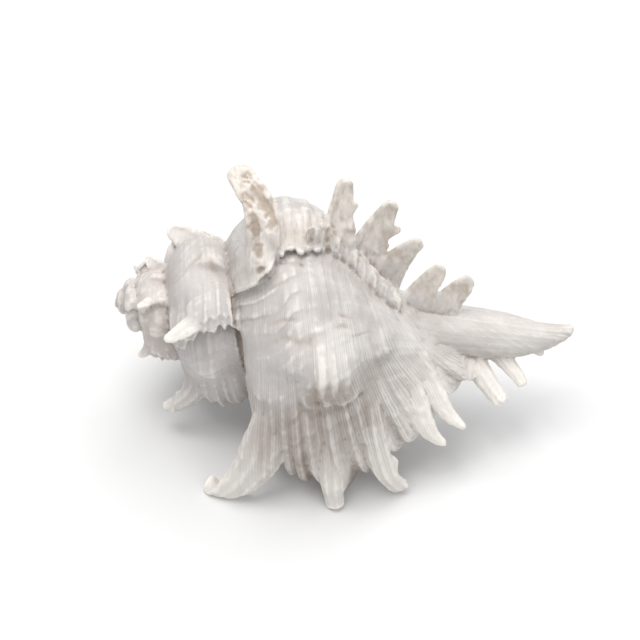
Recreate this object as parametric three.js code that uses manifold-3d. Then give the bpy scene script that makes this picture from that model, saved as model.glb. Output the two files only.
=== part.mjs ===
import * as THREE from 'three';
import { ParametricGeometry } from 'three/addons/geometries/ParametricGeometry.js';
import { mergeVertices } from 'three/addons/utils/BufferGeometryUtils.js';
import Module from 'manifold-3d';

const wasm = await Module();
wasm.setup();

// Everything is in millimetres and degrees. The shell is first grown in its own frame: +X runs along
// the coiling axis from the apex to the tip of the siphonal canal, and `turn` is the growth angle
// about that axis, 0 towards +Z and rising towards -Y. Older shell has a smaller turn.

// Growth of one whorl to the next, along the axis and away from it.
const growthAlong = 2.15;
const growthOut = 1.8;
const lipTurn = 92;
const apexTurn = -1340;

// Half sections as (distance along the axis, radius) in lip sizes: at the lip itself, for the rest of
// the last whorl, and for the spire whorls, whose lower parts the next whorl covers.
const lipSection = [
  [59, 26], [61, 33], [66, 42], [74, 49.5], [84, 53], [93, 53], [102, 49.5], [111, 43],
  [119, 34.5], [126, 25.5], [132, 16], [138, 8],
];
const midSection = [
  [59, 26], [61, 33], [66, 42], [74, 49], [84, 52.5], [93, 53], [102, 50.5], [111, 45], [120, 38],
  [130, 29], [140, 20], [150, 12],
];
const spireSection = [
  [59, 26], [61, 33], [66, 41.5], [74, 49], [83, 53.5], [93, 55.5], [103, 56], [113, 55],
  [123, 53.5], [134, 50], [142, 42], [148, 30],
];
const sectionSteps = 14;
const turnStep = 10;

// Varices, the thickened old lips: where the edge is, how high it stands in lip sizes, how wide its
// flat front is, how far back the swelling starts, and how much of the height is left at the edge.
const varices = [
  { edge: 92, height: 10.5, band: 6, back: 64, end: 0.95 },
  { edge: -36, height: 11.5, band: 18, back: 80, end: 0.34 },
  { edge: -150, height: 10, band: 12, back: 60, end: 0.7 },
  { edge: -250, height: 13, band: 3, back: 44, end: 0.8 },
  { edge: -347, height: 13, band: 3, back: 34, end: 0.7 },
  { edge: -464, height: 18, band: 6, back: 46, end: 0.9 },
  { edge: -545, height: 12, band: 3, back: 36, end: 0.8 },
  { edge: -622, height: 14, band: 3, back: 38, end: 0.8 },
  { edge: -715, height: 8, band: 3, back: 36, end: 0.5 },
  { edge: -818, height: 20, band: 6, back: 40, end: 0.8 },
  { edge: -905, height: 13, band: 3, back: 34, end: 0.8 },
  { edge: -985, height: 13, band: 3, back: 34, end: 0.8 },
  { edge: -1070, height: 13, band: 3, back: 34, end: 0.8 },
  { edge: -1160, height: 12, band: 3, back: 34, end: 0.8 },
];
const varixDrop = 2.5;

// Blunt node between the last two varices; it rises over more turn than it falls.
const node = { along: 88, turn: 28, height: 10.5, halfLength: 9.3, back: 15, front: 14 };

// Siphonal canal with its upturned tip: distance along the axis, rise to +Y, rise to +Z, radius.
const canal = [
  [1.2, 0, 0, 0.4], [20, 0, 0, 4], [70, 0, 0, 12], [108, -1, 0, 15.8], [121, -1.8, 0, 12.4],
  [134, -0.3, 0, 10.7], [147, 0, 0, 9.6], [158, 0.2, 0.8, 8.2], [167, 0.9, 2.4, 5.8],
  [174, 2.6, 4, 4.2], [179.3, 5.2, 5.2, 2.2],
];

// Aperture: centre and half sizes at the lip, and how far the hollow runs back into the whorl.
const aperture = { along: 90, out: 28, halfLength: 26, halfWidth: 16, runs: 225 };
const slit = { from: 108, to: 185, halfWidth: 1.3, turn: 128, floor: 3.2 };

// Spines from root to tip: path stations are [along, radius, turn], with the half width and the half
// depth at each station.
const lipSpines = [
  { path: [[71, 32, 34], [69, 43, 55], [65, 55, 70], [59, 63.6, 80], [53, 68.4, 86],
    [47.4, 68.9, 88.5], [42.8, 67.5, 89]],
    half: [5, 8.5, 9, 7.4, 5.8, 4.4, 3.1], depth: [3, 4.4, 5, 4.6, 4, 3.4, 2.6] },
  { path: [[88.5, 38, 40], [90, 50, 60], [91.6, 60, 74.5], [93.2, 67.3, 82.5], [94.5, 72, 84.7]],
    half: [4, 5.2, 5.2, 4.2, 3.2], depth: [2.4, 4.6, 4.8, 3.8, 3] },
  { path: [[101, 34, 38], [105, 45.5, 58], [110, 54, 74], [115.5, 59.6, 85], [120.2, 62.4, 89.6]],
    half: [4, 5, 5.2, 4.6, 4.4], depth: [2.4, 4.6, 4.6, 3.4, 2.6] },
  { path: [[108, 20, 23], [115.5, 26.4, 48.5], [121.5, 34.4, 63.2], [128, 41.4, 73], [134.8, 44.8, 77]],
    half: [3, 5.4, 5.8, 3.9, 1.8], depth: [2, 2.6, 3, 2.4, 1.6] },
  { path: [[110, 13, 10], [118, 18.7, 36], [126, 25.9, 58.6], [133.4, 33.6, 68.2], [141, 38.8, 70]],
    half: [3, 5.2, 5.4, 3.6, 1.6], depth: [2, 2.4, 2.6, 2.2, 1.5] },
  { path: [[131.5, 1, 86], [139, 7.6, 86], [145.8, 14.8, 84], [151.2, 21.4, 83], [155, 26.2, 82]],
    half: [5.6, 5.4, 4.4, 3.7, 2.9], depth: [4.2, 4, 3.6, 3.2, 2.8] },
  { path: [[144.6, 0, 85], [151.2, 5.6, 85], [156.6, 11, 84], [160.6, 15.4, 83], [163, 18.8, 82]],
    half: [4.6, 4, 3.2, 2.7, 2.1], depth: [3.6, 3.4, 2.8, 2.4, 2] },
  { path: [[163, 0, 88], [166.5, 3.4, 88], [169.6, 6, 88]],
    half: [3.4, 2.6, 1.4], depth: [2.6, 2, 1.2] },
];
const topSpines = [
  { path: [[58, 40, -24], [57.6, 51, -34], [55.4, 57.5, -42], [49.6, 62, -49.5], [44, 64.6, -56.5]],
    half: [6.5, 6, 6.2, 5.6, 4.6], depth: [4, 4, 3.8, 3.4, 3.2] },
  { path: [[83, 29, -49], [84.4, 40, -51], [85.4, 49, -54], [85.8, 57, -56], [86, 63.4, -57.5]],
    half: [9.5, 8, 5.4, 4, 3.1], depth: [4, 4, 3.6, 3, 2.4] },
  { path: [[86.4, 48, -54], [89.2, 52, -54.5], [91.4, 55, -55]],
    half: [3, 2, 1.1], depth: [2, 1.6, 1] },
  { path: [[103, 42, -55], [106.2, 44, -55], [108.8, 45.4, -55]],
    half: [3, 2.2, 1.2], depth: [2, 1.6, 1] },
  { path: [[100, 34, -54], [103, 36.4, -54.5], [105, 37.8, -55]],
    half: [3, 2, 1], depth: [2, 1.6, 1] },
  { path: [[94.5, 23, -56], [97, 34.5, -55], [100, 44, -55], [102.8, 51.6, -55], [105, 56.8, -55]],
    half: [8, 7, 5.4, 3.9, 2.7], depth: [4, 4, 3.4, 2.8, 2.2] },
  { path: [[103.6, 15.5, -54], [106.6, 26.4, -53], [110.4, 34.4, -52], [114, 39.6, -51],
    [117, 42.4, -51]],
    half: [6.4, 6, 4.8, 3.5, 2.4], depth: [3.6, 3.4, 3, 2.4, 1.9] },
  { path: [[115, 9, -38], [117.5, 15.5, -43], [121, 22.6, -48], [124.4, 28.6, -50], [127, 31, -50]],
    half: [6.6, 6, 4.9, 3.7, 2.4], depth: [3, 2.8, 2.4, 2, 1.6] },
  { path: [[125.6, 7, -40], [128.6, 13.5, -44], [132, 19.6, -47], [135.6, 25, -48], [138.2, 27.6, -49]],
    half: [7, 6.2, 5, 3.8, 2.5], depth: [3, 2.8, 2.4, 2, 1.6] },
];
const lowerSpines = [
  { path: [[43, 24, 212], [37, 38, 204], [33, 51, 196], [30, 64, 187], [28.4, 73.5, 181]],
    half: [8, 6, 4.5, 3.2, 2.2], depth: [4, 4, 3.4, 2.8, 2] },
  { path: [[58, 28, 212], [58.5, 39, 205], [60, 51, 197], [61.5, 63, 187], [62.8, 71.4, 181]],
    half: [8, 6, 4.4, 3.2, 2.2], depth: [4, 4, 3.2, 2.6, 2] },
  { path: [[70, 22, 210], [72.5, 31, 204], [76, 40, 197], [79.5, 49, 189], [82, 54.5, 184]],
    half: [7, 5.4, 4, 3, 2], depth: [3.6, 3.6, 3, 2.4, 1.8] },
  { path: [[79, 13, 208], [82.5, 21, 203], [87, 29, 197], [91.5, 37, 190], [94.8, 41.5, 186]],
    half: [6, 4.6, 3.6, 2.6, 1.8], depth: [3, 3, 2.6, 2, 1.6] },
  { path: [[89, 8, 206], [93.5, 14, 202], [98, 20, 196], [102.5, 26.5, 191], [106, 31, 188]],
    half: [5, 4, 3.2, 2.3, 1.6], depth: [2.6, 2.6, 2.2, 1.8, 1.4] },
];
const spireSpines = [
  { path: [[40, 26, -8], [35.8, 30, 8], [31, 33.4, 15.5], [26.8, 35.6, 19.8], [23.4, 36.4, 21.4]],
    half: [4.4, 5, 4.6, 3.6, 1.9], depth: [1.4, 1.8, 1.8, 1.5, 1.1] },
  { path: [[33, 21, -96], [29, 24.6, -98], [25, 27.2, -98], [21.4, 28.8, -98], [18.6, 30, -98]],
    half: [7.5, 6.4, 5, 3.4, 2.1], depth: [2.6, 3, 2.6, 2.2, 1.8] },
  { path: [[39, 26, 88], [35, 33, 98], [30.5, 38, 104], [26.5, 40.8, 107], [23.2, 41.6, 108]],
    half: [6, 5.2, 4.2, 3.4, 2.9], depth: [3, 3.6, 3.2, 2.8, 2.4] },
  { path: [[18, 13, -12], [15.6, 16.6, 0], [13, 18.6, 5], [11.4, 19.4, 7]],
    half: [3, 2.4, 1.5, 0.9], depth: [1.6, 1.7, 1.2, 0.8] },
  { path: [[18, 13, 88], [15.6, 17.6, 96], [13.8, 20.4, 99], [12.6, 21.8, 100]],
    half: [3, 2.4, 1.6, 1], depth: [1.6, 1.7, 1.3, 0.9] },
  { path: [[24, 17, 92], [23.5, 19.6, 99], [23.5, 22, 102]],
    half: [2.2, 1.5, 0.8], depth: [1.6, 1.4, 0.9] },
  { path: [[19, 16, 92], [18.4, 18.8, 99], [18.4, 20.8, 102]],
    half: [2, 1.3, 0.8], depth: [1.5, 1.3, 0.8] },
  { path: [[18, 13, -66], [15.6, 15.6, -70], [13.4, 17.4, -74], [11.8, 18.2, -77]],
    half: [4.4, 3.6, 2.3, 1], depth: [1.6, 1.5, 1.2, 0.8] },
  { path: [[12, 10, -112], [9.6, 12.4, -110], [7.8, 14.2, -110], [6.6, 15, -110]],
    half: [2.4, 1.8, 1.2, 0.7], depth: [1.4, 1.4, 1, 0.7] },
];

// How the grown shell lies: turned about its axis and nose down until three tips touch the floor.
const noseDown = 5.5;
const rollOver = 45;
const floorBelowAxis = 52.9;

const toRadians = THREE.MathUtils.degToRad;

function place(along, radius, turn) {
  const angle = toRadians(turn);
  return new THREE.Vector3(along, -radius * Math.sin(angle), radius * Math.cos(angle));
}

// A closed geometry as a manifold solid, with poles cleaned up and faces turned outwards.
function toSolid(geometry) {
  geometry.deleteAttribute('normal');
  geometry.deleteAttribute('uv');
  const merged = mergeVertices(geometry, 1e-4);
  const points = merged.attributes.position;
  const index = merged.index.array;
  const faces = [];
  let volume = 0;
  const [a, b, c] = [new THREE.Vector3(), new THREE.Vector3(), new THREE.Vector3()];
  for (let i = 0; i < index.length; i += 3) {
    const [p, q, r] = [index[i], index[i + 1], index[i + 2]];
    if (p === q || q === r || r === p) continue;
    a.fromBufferAttribute(points, p);
    b.fromBufferAttribute(points, q);
    c.fromBufferAttribute(points, r);
    volume += a.dot(b.cross(c));
    faces.push([p, q, r]);
  }
  const triangles = volume < 0 ? faces.map(([p, q, r]) => [p, r, q]) : faces;
  return new wasm.Manifold(new wasm.Mesh({
    numProp: 3,
    vertProperties: new Float32Array(points.array),
    triVerts: new Uint32Array(triangles.flat()),
  }));
}

function toGeometry(solid) {
  const mesh = solid.getMesh();
  const geometry = new THREE.BufferGeometry();
  geometry.setAttribute('position', new THREE.BufferAttribute(mesh.vertProperties.slice(), 3));
  geometry.setIndex(new THREE.BufferAttribute(mesh.triVerts.slice(), 1));
  return geometry;
}

// A closed skin through `rings` rings of `sides` points; the two ends close to their own centres.
function skin(rings, sides, pointAt, centreAt) {
  const geometry = new ParametricGeometry((u, v, target) => {
    const ring = Math.round(u * (rings + 1));
    if (ring === 0) target.copy(centreAt(0));
    else if (ring === rings + 1) target.copy(centreAt(rings - 1));
    else target.copy(pointAt(ring - 1, Math.round(v * sides) % sides));
  }, rings + 1, sides);
  return toSolid(geometry);
}

const asCurve = (list) => new THREE.SplineCurve(list.map(([x, y]) => new THREE.Vector2(x, y)));
const lipCurve = asCurve(lipSection);
const midCurve = asCurve(midSection);
const spireCurve = asCurve(spireSection);

const smooth = THREE.MathUtils.smoothstep;

// How far the varices lift the whorl at a turn, in lip sizes.
function varixLift(along, turn) {
  let lift = 0;
  for (const { edge, height, band, back, end } of varices) {
    const behind = edge - turn;
    if (behind < 0 || behind > back) continue;
    const front = end + (1 - end) * smooth(behind, 0, band);
    const fall = Math.cos((Math.max(behind - band, 0) / (back - band)) * (Math.PI / 2)) ** 1.7;
    const taper = edge === lipTurn ? smooth(along, 131, 137) * (1 - smooth(behind, 8, 28)) : 0;
    lift = Math.max(lift, height * (behind < band ? front : fall) * (1 - taper));
  }
  return lift;
}

function nodeLift(along, turn) {
  const a = (along - node.along) / node.halfLength;
  const b = (turn - node.turn) / (turn < node.turn ? node.back : node.front);
  const steep = turn < node.turn ? 0.9 : 0.9 + 0.5 * b * b;
  return node.height * Math.exp(-a * a * (0.6 + 0.7 * a * a) - b * b * steep);
}

// One point of the whorl surface: share 0 at the suture to 1 at the base, at a growth turn.
function whorlPoint(share, turn) {
  const whorls = (turn - lipTurn) / 360;
  const section = lipCurve.getPoint(share).lerp(midCurve.getPoint(share), 1 - smooth(turn, 72, lipTurn));
  section.lerp(spireCurve.getPoint(share), 1 - smooth(whorls, -1.2, -0.78));
  const along = section.x * growthAlong ** whorls;
  const fade = smooth(share, 0, 0.13);
  const radius = (section.y + fade * varixLift(section.x, turn)) * growthOut ** whorls;
  return new THREE.Vector2(along, radius + nodeLift(along, turn));
}

// The solid of less than one turn of whorl, from the coiling axis out to the whorl surface.
function whorlPiece(from, to) {
  const turns = [];
  for (let turn = from; turn < to - 0.5; turn += turnStep) turns.push(turn);
  turns.push(to);
  for (const { edge } of varices) {
    for (const extra of [edge, edge + varixDrop]) if (extra > from + 1 && extra < to - 1) turns.push(extra);
  }
  turns.sort((a, b) => a - b);
  const kept = turns.filter((turn, i) => i === 0 || i === turns.length - 1 || turn - turns[i - 1] > 1.2
    || varices.some(({ edge }) => edge === turn));
  const sides = sectionSteps + 3;
  const pointAt = (ring, side) => {
    const turn = kept[ring];
    const first = whorlPoint(0, turn);
    const last = whorlPoint(1, turn);
    if (side <= sectionSteps) {
      const point = whorlPoint(side / sectionSteps, turn);
      return place(point.x, point.y, turn);
    }
    return side === sectionSteps + 1 ? place(last.x, 0.3, turn) : place(first.x, 0.3, turn);
  };
  const centreAt = (ring) => {
    const turn = kept[ring];
    const middle = whorlPoint(0.5, turn);
    return place(middle.x, middle.y * 0.5, turn);
  };
  return skin(kept.length, sides, pointAt, centreAt);
}

// Core of the coil and the siphonal canal as one round bar, so that nothing stays hollow on the axis.
function canalBar() {
  const path = new THREE.CatmullRomCurve3(canal.map(([x, y, z]) => new THREE.Vector3(x, y, z)));
  const widths = asCurve(canal.map(([x, , , radius]) => [x, radius]));
  const rings = 26;
  const sides = 14;
  const pointAt = (ring, side) => {
    const share = ring / (rings - 1);
    const angle = (side / sides) * 2 * Math.PI;
    const radius = widths.getPoint(share).y;
    const aside = new THREE.Vector3(0, Math.sin(angle), Math.cos(angle)).multiplyScalar(radius);
    return path.getPoint(share).add(aside);
  };
  return skin(rings, sides, pointAt, (ring) => path.getPoint(ring / (rings - 1)));
}

// A tapering gutter-shaped spine, its groove towards the growing side.
function spine({ path, half, depth }) {
  const line = new THREE.CatmullRomCurve3(path.map((station) => place(...station)), false, 'catmullrom', 0.5);
  const halves = asCurve(half.map((value, i) => [i, value]));
  const depths = asCurve(depth.map((value, i) => [i, value]));
  const rings = path.length;
  const sides = 8;
  const pointAt = (ring, side) => {
    const share = ring / (rings - 1);
    const along = line.getTangent(share);
    const across = new THREE.Vector3(1, 0, 0).addScaledVector(along, -along.x).normalize();
    const front = new THREE.Vector3().crossVectors(across, along);
    const angle = (side / sides) * 2 * Math.PI;
    const close = ring === rings - 1 ? 0.75 : 1;
    const groove = Math.sin(angle) > 0 ? 0.35 : 1;
    return line.getPoint(share)
      .addScaledVector(across, halves.getPoint(share).y * close * Math.cos(angle))
      .addScaledVector(front, depths.getPoint(share).y * close * groove * Math.sin(angle));
  };
  return skin(rings, sides, pointAt, (ring) => line.getPoint(ring / (rings - 1)));
}

// The hollow of the last whorl, a tube that coils with the shell and shrinks as it goes in.
function apertureHollow() {
  const rings = 22;
  const sides = 14;
  const centreAt = (ring) => {
    const turn = lipTurn + 4 - (aperture.runs * ring) / (rings - 1);
    const whorls = (turn - lipTurn) / 360;
    return place(aperture.along * growthAlong ** whorls, aperture.out * growthOut ** whorls, turn);
  };
  const pointAt = (ring, side) => {
    const share = ring / (rings - 1);
    const turn = lipTurn + 4 - aperture.runs * share;
    const whorls = (turn - lipTurn) / 360;
    const angle = (side / sides) * 2 * Math.PI;
    const close = 1 - 0.45 * THREE.MathUtils.smoothstep(share, 0.6, 1);
    const along = aperture.along + aperture.halfLength * close * Math.cos(angle);
    const lean = 1 - 0.22 * Math.cos(angle);
    const out = aperture.out + aperture.halfWidth * close * lean * Math.sin(angle);
    return place(along * growthAlong ** whorls, out * growthOut ** whorls, turn);
  };
  return skin(rings, sides, pointAt, centreAt);
}

// The narrow open slit that runs down the canal from the aperture to its tip.
function canalSlit() {
  const rings = 9;
  const pointAt = (ring, side) => {
    const along = THREE.MathUtils.lerp(slit.from, slit.to, ring / (rings - 1));
    const rise = 6 * THREE.MathUtils.smoothstep(along, 150, 182);
    const out = side === 1 || side === 2 ? 40 : slit.floor - rise - 1.2;
    const wide = side < 2 ? -slit.halfWidth : slit.halfWidth;
    const spread = out > 30 ? 1.6 : 1;
    return place(along, out, slit.turn).add(place(0, wide * spread, slit.turn + 90));
  };
  const centreAt = (ring) => {
    const corners = [0, 1, 2, 3].map((side) => pointAt(ring, side));
    return corners.reduce((sum, corner) => sum.add(corner), new THREE.Vector3()).multiplyScalar(0.25);
  };
  return skin(rings, 4, pointAt, centreAt);
}

function growShell() {
  let solid = canalBar();
  for (let to = lipTurn; to > apexTurn; to -= 120) {
    solid = solid.add(whorlPiece(Math.max(to - 120, apexTurn), to));
  }
  for (const list of [lipSpines, topSpines, lowerSpines, spireSpines]) {
    for (const entry of list) solid = solid.add(spine(entry));
  }
  return outerSkin(solid.subtract(apertureHollow()).subtract(canalSlit()));
}

// The one large body, without the hairline pockets that meeting whorls can enclose.
function outerSkin(solid) {
  return solid.decompose().reduce((best, next) => (next.volume() > best.volume() ? next : best));
}

// Lays the shell down, trims the resting tips flat at the floor and centres it over its own middle.
function layDown(grown) {
  const lying = toGeometry(grown).rotateZ(toRadians(-noseDown)).rotateX(toRadians(rollOver));
  const below = new THREE.BoxGeometry(600, 600, 100).translate(0, 0, -floorBelowAxis - 50);
  const resting = toGeometry(outerSkin(toSolid(lying).subtract(toSolid(below))));
  resting.computeBoundingBox();
  const centre = resting.boundingBox.getCenter(new THREE.Vector3());
  return resting.translate(-centre.x, -centre.y, -resting.boundingBox.min.z);
}

const geometry = mergeVertices(layDown(growShell()), 1e-3);
geometry.computeVertexNormals();
const bleachedShell = new THREE.MeshStandardMaterial({ color: '#dfdcd8', roughness: 0.62, metalness: 0 });
const shell = new THREE.Mesh(geometry, bleachedShell);
shell.name = 'murex_shell';

const group = new THREE.Group();
group.name = 'murex';
group.add(shell);

export default group;
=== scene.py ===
import math

import bpy
import numpy as np
from mathutils import Matrix, Vector


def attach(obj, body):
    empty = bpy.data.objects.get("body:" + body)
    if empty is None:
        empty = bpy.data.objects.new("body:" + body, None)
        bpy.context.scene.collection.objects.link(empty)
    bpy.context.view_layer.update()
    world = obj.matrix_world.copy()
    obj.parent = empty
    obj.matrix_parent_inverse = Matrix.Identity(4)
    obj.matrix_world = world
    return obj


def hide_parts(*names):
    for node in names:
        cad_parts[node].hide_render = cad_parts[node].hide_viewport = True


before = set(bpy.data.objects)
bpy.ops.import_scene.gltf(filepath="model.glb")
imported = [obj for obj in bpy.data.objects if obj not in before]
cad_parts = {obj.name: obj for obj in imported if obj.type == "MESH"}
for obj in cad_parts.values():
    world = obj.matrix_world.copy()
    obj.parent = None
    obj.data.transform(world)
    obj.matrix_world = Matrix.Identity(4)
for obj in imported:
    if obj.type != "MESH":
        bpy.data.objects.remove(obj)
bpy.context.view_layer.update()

# The shell grows in millimetres in its own frame: x runs along the coiling axis from the apex to the tip
# of the canal; a turn is the growth angle round that axis in degrees, rising towards the lip at 92.

growth = {
    "along": 2.15,  # one whorl is this many times as long as the one before it
    "out": 1.8,  # and this many times as wide
    "lipTurn": 92.0,
    "apexTurn": -1720.0,
    "suture": 58.5,  # where each whorl meets the one before it, along the section
    # (along, radius) of the whorl in lip units: at the lip, half a whorl before it, and in the spire
    "lipSection": [(59, 26), (61, 33), (66, 42), (74, 49.5), (84, 53), (93, 53), (102, 49.5), (111, 43),
                   (119, 34.5), (126, 25.5), (132, 16), (138, 8)],
    "midSection": [(59, 26), (61, 33), (66, 42), (74, 49), (84, 52.5), (93, 53), (102, 50.5), (111, 45),
                   (120, 38), (130, 29), (140, 20), (150, 12)],
    "spireSection": [(59, 26), (61, 33), (66, 41.5), (74, 49), (83, 53.5), (93, 55.5), (103, 56),
                     (113, 55), (123, 53.5), (134, 50), (142, 42), (148, 30)],
    # (x, y, z, radius) down the canal
    "canal": [(1.2, 0, 0, 0.4), (20, 0, 0, 4), (70, 0, 0, 12), (108, -1, 0, 15.8), (121, -1.8, 0, 12.4),
              (134, -0.3, 0, 10.7), (147, 0, 0, 9.6), (158, 0.2, 0.8, 8.2), (167, 0.9, 2.4, 5.8),
              (174, 2.6, 4, 4.2), (179.3, 5.2, 5.2, 2.2)],
}

# old lip edges, each at a turn. lean: how far it follows the growth lines, or shape: its own swing in
# degrees along the section. height: the swelling in lip units; it starts back degrees behind the edge,
# is full band degrees behind it and has sunk to the share end at the edge. fluted: how deeply the folds
# cut it. frill: how far the ragged rim stands forward, in degrees. taper: where along the section the
# swelling fades out. webs: scooped sheets between the spines
varices = [
    {"edge": 92, "lean": 0.0, "height": 10.5, "band": 6, "back": 64, "end": 0.95, "fluted": 1, "frill": 0,
     "taper": 131},
    {"edge": -36, "lean": 1.0, "height": 11.5, "band": 18, "back": 80, "end": 0.34, "fluted": 0.1,
     "frill": 3.2,
     "shape": [(55, 22), (66, 21), (74, 18), (79, 13), (83, 3), (98, 0), (104, -4), (111, -10), (124, -13),
               (131, -10), (137, -6), (144, 3), (157, 15)],
     "webs": [{"over": -4.0, "rise": 7.5, "from": (0.5, 0.97)}]},
    {"edge": -150, "lean": 0.6, "height": 10, "band": 12, "back": 60, "end": 0.7, "fluted": 0.7, "frill": 5},
    {"edge": -250, "lean": 0.8, "height": 13, "band": 3, "back": 44, "end": 0.8, "fluted": 0.6, "frill": 5},
    {"edge": -347, "lean": 0.9, "height": 13, "band": 3, "back": 34, "end": 0.7, "fluted": 0.4, "frill": 6},
    {"edge": -464, "lean": 0.15, "height": 18, "band": 6, "back": 46, "end": 0.9, "fluted": 0.15, "frill": 0},
    {"edge": -545, "lean": 0.6, "height": 12, "band": 3, "back": 36, "end": 0.8, "fluted": 0.7, "frill": 6},
    {"edge": -622, "lean": 0.6, "height": 14, "band": 3, "back": 38, "end": 0.8, "fluted": 0.8, "frill": 10},
    {"edge": -715, "lean": 0.6, "height": 8, "band": 3, "back": 36, "end": 0.5, "fluted": 0.6, "frill": 0},
    {"edge": -818, "lean": 0.3, "height": 20, "band": 6, "back": 40, "end": 0.8, "fluted": 0.5, "frill": 5},
]
earlyVarix = {"lean": 0.5, "band": 3, "back": 34, "end": 0.8, "fluted": 0.8}
for edge, height, frill in ((-905, 13, 10), (-985, 13, 10), (-1070, 13, 10), (-1160, 12, 10), (-1250, 11, 8)):
    varices.append({**earlyVarix, "edge": edge, "height": height, "frill": frill})

# how many degrees a growth line swings forward at a distance along the section: (distance, degrees)
leaning = [(55, 20), (69.5, 18), (78.6, 12), (86.5, 3), (98, -2), (117, -8), (134, -2), (145, 7), (157, 15)]

# broad folds along the whorl: (where along the section, how strong)
folds = [(64, 0.8), (70, 0.6), (77, 0.5), (82, 0.55), (88.5, 0.5), (99, 1), (107, 0.6), (112.5, 1),
         (119, 0.7), (125, 0.9), (130.5, 0.8), (136, 0.5), (143, 0.5), (151, 0.5)]

# single lumps: where they stand, how high, and how far they reach, half in mm, back and front in degrees
knobs = [
    {"along": 88.2, "turn": 24.0, "height": 10.6, "half": 11.4, "back": 15.0, "front": 13.0},
    {"along": 106.5, "turn": 17.0, "height": 3.2, "half": 4.5, "back": 14.0, "front": 6.0},
    {"along": 73.0, "turn": 22.0, "height": 3.4, "half": 4.6, "back": 13.0, "front": 6.0},
    {"along": 57.5, "turn": -24.0, "height": 3.0, "half": 5.5, "back": 16.0, "front": 5.0},
    {"along": 34.0, "turn": -436.0, "height": 4.5, "half": 13.0, "back": 32.0, "front": 44.0},
    {"along": 39.0, "turn": -398.0, "height": 2.8, "half": 6.5, "back": 15.0, "front": 3.0},
    {"along": 41.0, "turn": -303.0, "height": 2.4, "half": 6.0, "back": 14.0, "front": 5.0},
    {"along": 18.0, "turn": -765.0, "height": 1.6, "half": 3.5, "back": 16.0, "front": 5.0},
    {"along": 19.5, "turn": -672.0, "height": 1.6, "half": 3.5, "back": 16.0, "front": 5.0},
]

# the marks of the big knob are kept to this side of the axis, clear of the spire
knobSide = 70

# the worn hollows at the foot of the big knob: (along, half width, angle round the axis), and half their
# length in degrees
toes = [(82.6, 3.6, 34.0), (92.4, 4.8, 32.2)]
toeLength = 5.5

# small brown scars: (along, angle, half length in mm, half width in degrees, slope in degrees per mm)
scars = [(90, 3.4, 3.4, 1.3, 0.0), (90.5, -2.2, 3.2, 1.1, 0.0), (74, 10.6, 9.0, 1.9, -0.3),
         (97, 6.4, 4.0, 0.9, -0.2), (69, 2.5, 6.0, 1.2, -0.5), (64, -14, 5.0, 1.1, -0.7),
         (73.5, -33, 1.2, 1.2, 0.0), (103.5, 15, 1.2, 1.6, 0.0), (122, 14, 1.0, 3.0, 0.0),
         (38.5, -35, 4.5, 4.0, 0.9), (32.5, -42, 2.4, 3.4, -1.6)]

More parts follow.
